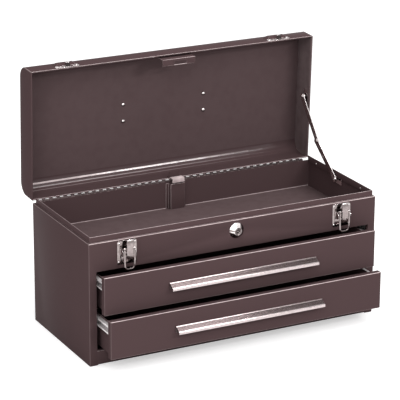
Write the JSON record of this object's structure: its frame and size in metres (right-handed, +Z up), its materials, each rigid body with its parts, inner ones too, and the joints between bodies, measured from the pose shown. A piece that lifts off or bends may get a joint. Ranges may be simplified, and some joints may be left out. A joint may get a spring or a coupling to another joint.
{
  "type": "machinist tool chest",
  "caption": "Folded-steel machinist's chest with a hinged lid on a folding stay, an open till, drawers with ribbed pulls, draw latches, a lid lock and a carrying handle.",
  "frame": {"origin": "middle of the case's footprint on the surface it stands on", "axes": "+X to the chest's right seen from the front, +Y to its back, +Z up; the drawers open towards -Y"},
  "size_m": [0.5112, 0.3312, 0.4289],
  "materials": {
    "brown_enamel": "smooth satin baked enamel with a faint orange peel",
    "pull_aluminium": "satin extruded aluminium, ribbed lengthwise",
    "rail_steel": "bright zinc-plated rolled steel",
    "hinge_steel": "dull nickel-plated rolled steel",
    "nickel_plate": "bright nickel plating",
    "grip_plastic": "dark brown moulded grip with a fine grain"
  },
  "bodies": {
    "case": {"face_frame": "brown_enamel", "left_side_panel": "brown_enamel", "right_side_panel": "brown_enamel", "back_panel": "brown_enamel", "bottom_panel": "brown_enamel", "till_floor": "brown_enamel", "case_hinge_leaf": "hinge_steel", "hinge_pin": "hinge_steel", "lock_housing": "nickel_plate", "lock_nut": "nickel_plate", "locking_bar_channel": "brown_enamel", "locking_bar_guide": "brown_enamel", "stay_case_bracket": "nickel_plate", "left_latch_base": "nickel_plate", "left_latch_pin": "nickel_plate", "right_latch_base": "nickel_plate", "right_latch_pin": "nickel_plate", "upper_left_runner": "rail_steel", "upper_right_runner": "rail_steel", "lower_left_runner": "rail_steel", "lower_right_runner": "rail_steel"},
    "lid": {"lid_skin": "brown_enamel", "lid_left_end": "brown_enamel", "lid_right_end": "brown_enamel", "lid_hinge_leaf": "hinge_steel", "lid_lock_strike": "brown_enamel", "locking_bar_pusher": "brown_enamel", "stay_lid_bracket": "nickel_plate", "left_handle_strap": "nickel_plate", "right_handle_strap": "nickel_plate", "handle_rivets": "nickel_plate", "left_latch_strike": "nickel_plate", "right_latch_strike": "nickel_plate"},
    "handle": {"handle_bail": "nickel_plate", "handle_grip": "grip_plastic"},
    "stay_upper": {"stay_upper_link": "nickel_plate", "stay_knee_washer": "nickel_plate"},
    "stay_lower": {"stay_lower_link": "nickel_plate", "stay_knee_rivet": "nickel_plate"},
    "upper_drawer": {"upper_drawer_front": "brown_enamel", "upper_drawer_tray": "brown_enamel", "upper_drawer_pull": "pull_aluminium", "upper_drawer_left_rail": "rail_steel", "upper_drawer_right_rail": "rail_steel"},
    "lower_drawer": {"lower_drawer_front": "brown_enamel", "lower_drawer_tray": "brown_enamel", "lower_drawer_pull": "pull_aluminium", "lower_drawer_left_rail": "rail_steel", "lower_drawer_right_rail": "rail_steel"},
    "left_lever": {"left_latch_lever": "nickel_plate"},
    "left_loop": {"left_latch_loop": "nickel_plate"},
    "right_lever": {"right_latch_lever": "nickel_plate"},
    "right_loop": {"right_latch_loop": "nickel_plate"},
    "lock": {"lock_barrel": "nickel_plate", "lock_cam": "nickel_plate", "lock_cam_screw": "nickel_plate"},
    "locking_bar": {"locking_bar": "nickel_plate"}
  },
  "joints": [
    {"name": "lid_hinge", "type": "hinge", "parent": "case", "child": "lid", "pos_m": [0, 0.1109, 0.20165], "axis": [1, 0, 0], "range_deg": [0, 88]},
    {"name": "handle_swing", "type": "hinge", "parent": "lid", "child": "handle", "pos_m": [0, 0.15808, 0.31757], "axis": [1, 0, 0], "range_deg": [0, 180]},
    {"name": "upper_drawer_slide", "type": "slide", "parent": "case", "child": "upper_drawer", "axis": [0, -1, 0], "range_m": [-0.025, 0.125]},
    {"name": "lower_drawer_slide", "type": "slide", "parent": "case", "child": "lower_drawer", "axis": [0, -1, 0], "range_m": [-0.047, 0.103]},
    {"name": "left_latch_lever", "type": "hinge", "parent": "case", "child": "left_lever", "pos_m": [-0.1915, -0.11595, 0.18105], "axis": [1, 0, 0], "range_deg": [0, 180]},
    {"name": "left_latch_loop", "type": "hinge", "parent": "left_lever", "child": "left_loop", "pos_m": [-0.1915, -0.11855, 0.18865], "axis": [1, 0, 0], "range_deg": [-360, 0]},
    {"name": "right_latch_lever", "type": "hinge", "parent": "case", "child": "right_lever", "pos_m": [0.1915, -0.11595, 0.18105], "axis": [1, 0, 0], "range_deg": [0, 180]},
    {"name": "right_latch_loop", "type": "hinge", "parent": "right_lever", "child": "right_loop", "pos_m": [0.1915, -0.11855, 0.18865], "axis": [1, 0, 0], "range_deg": [-360, 0]},
    {"name": "lock_turn", "type": "hinge", "parent": "case", "child": "lock", "pos_m": [0, -0.10795, 0.18365], "axis": [0, -1, 0], "range_deg": [0, 100]},
    {"name": "locking_bar_slide", "type": "slide", "parent": "case", "child": "locking_bar", "axis": [0, 0, 1], "range_m": [-0.008, 0]},
    {"name": "stay_upper_pivot", "type": "hinge", "parent": "lid", "child": "stay_upper", "pos_m": [0, 0.12359, 0.31116], "axis": [1, 0, 0], "range_deg": [0, 40.77]},
    {"name": "stay_lower_pivot", "type": "hinge", "parent": "case", "child": "stay_lower", "pos_m": [0, 0.0075, 0.19745], "axis": [1, 0, 0], "range_deg": [-23.01, 0]}
  ],
  "couplings": [
    {"joint": "left_latch_loop", "follows": "left_latch_lever", "ratio": -2},
    {"joint": "right_latch_loop", "follows": "right_latch_lever", "ratio": -2},
    {"joint": "locking_bar_slide", "follows": "lid_hinge", "m_per_rad": -0.005208},
    {"joint": "stay_upper_pivot", "follows": "lid_hinge", "ratio": 0.46327},
    {"joint": "stay_lower_pivot", "follows": "lid_hinge", "ratio": -0.26146}
  ]
}
